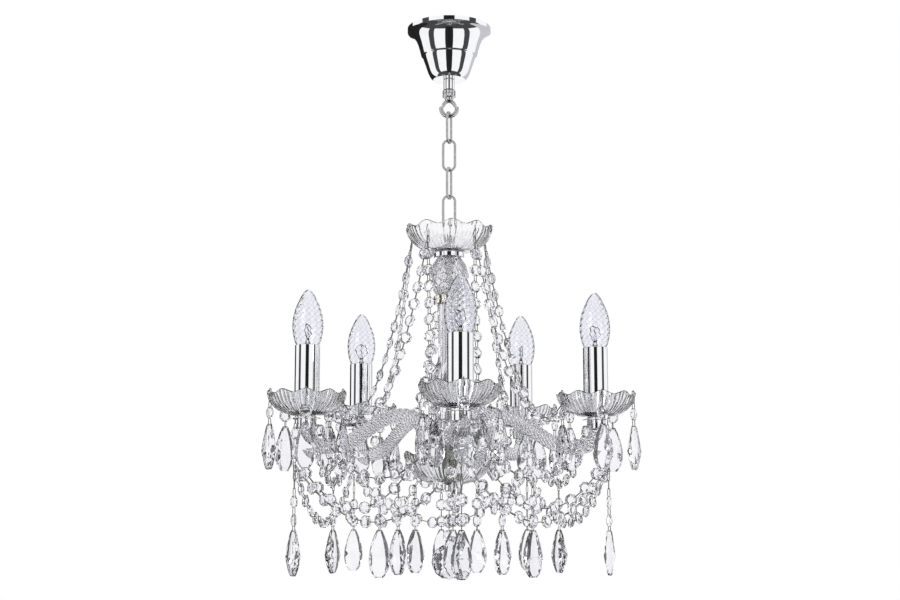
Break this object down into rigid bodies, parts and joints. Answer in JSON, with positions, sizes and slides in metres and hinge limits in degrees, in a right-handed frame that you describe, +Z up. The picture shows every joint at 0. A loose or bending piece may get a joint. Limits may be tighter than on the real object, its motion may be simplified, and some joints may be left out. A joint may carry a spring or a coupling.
{
  "type": "crystal chandelier",
  "caption": "Crystal chandelier with twisted glass arms, scalloped pans, candle bulbs, bead garlands and almond drops, hung by a chain from a bell canopy.",
  "frame": {"origin": "middle of the top face of the ceiling strap, where it meets the ceiling", "axes": "+Z up along the stem, into the ceiling; the light hangs towards -Z; one arm points close to -Y, four degrees towards +X"},
  "size_m": [0.4146, 0.4072, 0.649],
  "materials": {
    "chrome": "mirror polished",
    "collar_chrome": "polished, faintly brassy",
    "steel": "zinc plated",
    "hub_metal": "satin, greenish grey",
    "clear_glass": "clear, pressed and moulded",
    "crystal": "clear, cut and polished",
    "bulb_glass": "clear, with spiral flutes",
    "holder_plastic": "matte"
  },
  "bodies": {
    "ceiling_mount": {"ceiling_strap": "steel", "canopy": "chrome", "suspension_tube": "chrome"},
    "eye": {"hanging_eye": "chrome"},
    "link_1": {"chain_link_1": "chrome"},
    "link_2": {"chain_link_2": "chrome"},
    "link_3": {"chain_link_3": "chrome"},
    "link_4": {"chain_link_4": "chrome"},
    "chandelier_frame": {"stem_loop": "chrome", "stem_rod": "steel", "top_dish": "clear_glass", "upper_collar": "chrome", "stem_ball": "clear_glass", "lower_collar": "collar_chrome", "stem_column": "clear_glass", "arm_hub": "hub_metal", "bottom_bowl": "clear_glass", "bottom_nut": "chrome", "lower_garland": "crystal", "arm_1": "clear_glass", "bobeche_1": "clear_glass", "lamp_holder_1": "holder_plastic", "candle_sleeve_1": "chrome", "upper_garland_1": "crystal", "inner_garland_1": "crystal", "arm_2": "clear_glass", "bobeche_2": "clear_glass", "lamp_holder_2": "holder_plastic", "candle_sleeve_2": "chrome", "upper_garland_2": "crystal", "inner_garland_2": "crystal", "arm_3": "clear_glass", "bobeche_3": "clear_glass", "lamp_holder_3": "holder_plastic", "candle_sleeve_3": "chrome", "upper_garland_3": "crystal", "inner_garland_3": "crystal", "arm_4": "clear_glass", "bobeche_4": "clear_glass", "lamp_holder_4": "holder_plastic", "candle_sleeve_4": "chrome", "upper_garland_4": "crystal", "inner_garland_4": "crystal", "arm_5": "clear_glass", "bobeche_5": "clear_glass", "lamp_holder_5": "holder_plastic", "candle_sleeve_5": "chrome", "upper_garland_5": "crystal", "inner_garland_5": "crystal"},
    "bulb_1": {"bulb_1": "bulb_glass"},
    "drop_1": {"drop_1": "crystal"},
    "bulb_2": {"bulb_2": "bulb_glass"},
    "drop_2": {"drop_2": "crystal"},
    "bulb_3": {"bulb_3": "bulb_glass"},
    "drop_3": {"drop_3": "crystal"},
    "bulb_4": {"bulb_4": "bulb_glass"},
    "drop_4": {"drop_4": "crystal"},
    "bulb_5": {"bulb_5": "bulb_glass"},
    "drop_5": {"drop_5": "crystal"},
    "ball": {"crystal_ball": "crystal"}
  },
  "joints": [
    {"name": "eye_swivel", "type": "hinge", "parent": "ceiling_mount", "child": "eye", "pos_m": [0, 0, -0.08], "axis": [0, 0, 1], "range_deg": [-180, 180]},
    {"name": "link_1_swing", "type": "hinge", "parent": "eye", "child": "link_1", "pos_m": [0, 0, -0.1086], "axis": [1, 0, 0], "range_deg": [-15, 15]},
    {"name": "link_2_swing", "type": "hinge", "parent": "link_1", "child": "link_2", "pos_m": [0, 0, -0.1409], "axis": [0.342, 0.9397, 0], "range_deg": [-15, 15]},
    {"name": "link_3_swing", "type": "hinge", "parent": "link_2", "child": "link_3", "pos_m": [0, 0, -0.1746], "axis": [1, 0, 0], "range_deg": [-15, 15]},
    {"name": "link_4_swing", "type": "hinge", "parent": "link_3", "child": "link_4", "pos_m": [0, 0, -0.2083], "axis": [0.342, 0.9397, 0], "range_deg": [-15, 15]},
    {"name": "chandelier_frame_swing", "type": "hinge", "parent": "link_4", "child": "chandelier_frame", "pos_m": [0, 0, -0.242], "axis": [1, 0, 0], "range_deg": [-15, 15]},
    {"name": "bulb_1_turn", "type": "hinge", "parent": "chandelier_frame", "child": "bulb_1", "pos_m": [0.01186, -0.16959, -0.4], "axis": [0, 0, 1], "continuous": true},
    {"name": "drop_1_swing", "type": "hinge", "parent": "chandelier_frame", "child": "drop_1", "pos_m": [0.01276, -0.18245, -0.52577], "axis": [0.9976, 0.0698, 0], "range_deg": [-25, 8]},
    {"name": "bulb_2_turn", "type": "hinge", "parent": "chandelier_frame", "child": "bulb_2", "pos_m": [0.16495, -0.04113, -0.4], "axis": [0, 0, 1], "continuous": true},
    {"name": "drop_2_swing", "type": "hinge", "parent": "chandelier_frame", "child": "drop_2", "pos_m": [0.17747, -0.04425, -0.52577], "axis": [0.2419, 0.9703, 0], "range_deg": [-25, 8]},
    {"name": "bulb_3_turn", "type": "hinge", "parent": "chandelier_frame", "child": "bulb_3", "pos_m": [0.09009, 0.14417, -0.4], "axis": [0, 0, 1], "continuous": true},
    {"name": "drop_3_swing", "type": "hinge", "parent": "chandelier_frame", "child": "drop_3", "pos_m": [0.09692, 0.15511, -0.52577], "axis": [-0.848, 0.5299, 0], "range_deg": [-25, 8]},
    {"name": "bulb_4_turn", "type": "hinge", "parent": "chandelier_frame", "child": "bulb_4", "pos_m": [-0.10927, 0.13023, -0.4], "axis": [0, 0, 1], "continuous": true},
    {"name": "drop_4_swing", "type": "hinge", "parent": "chandelier_frame", "child": "drop_4", "pos_m": [-0.11757, 0.14011, -0.52577], "axis": [-0.766, -0.6428, 0], "range_deg": [-25, 8]},
    {"name": "bulb_5_turn", "type": "hinge", "parent": "chandelier_frame", "child": "bulb_5", "pos_m": [-0.15762, -0.06368, -0.4], "axis": [0, 0, 1], "continuous": true},
    {"name": "drop_5_swing", "type": "hinge", "parent": "chandelier_frame", "child": "drop_5", "pos_m": [-0.16958, -0.06852, -0.52577], "axis": [0.3746, -0.9272, 0], "range_deg": [-25, 8]},
    {"name": "ball_swing", "type": "hinge", "parent": "chandelier_frame", "child": "ball", "pos_m": [0, 0, -0.55547], "axis": [1, 0, 0], "range_deg": [-15, 15]}
  ]
}
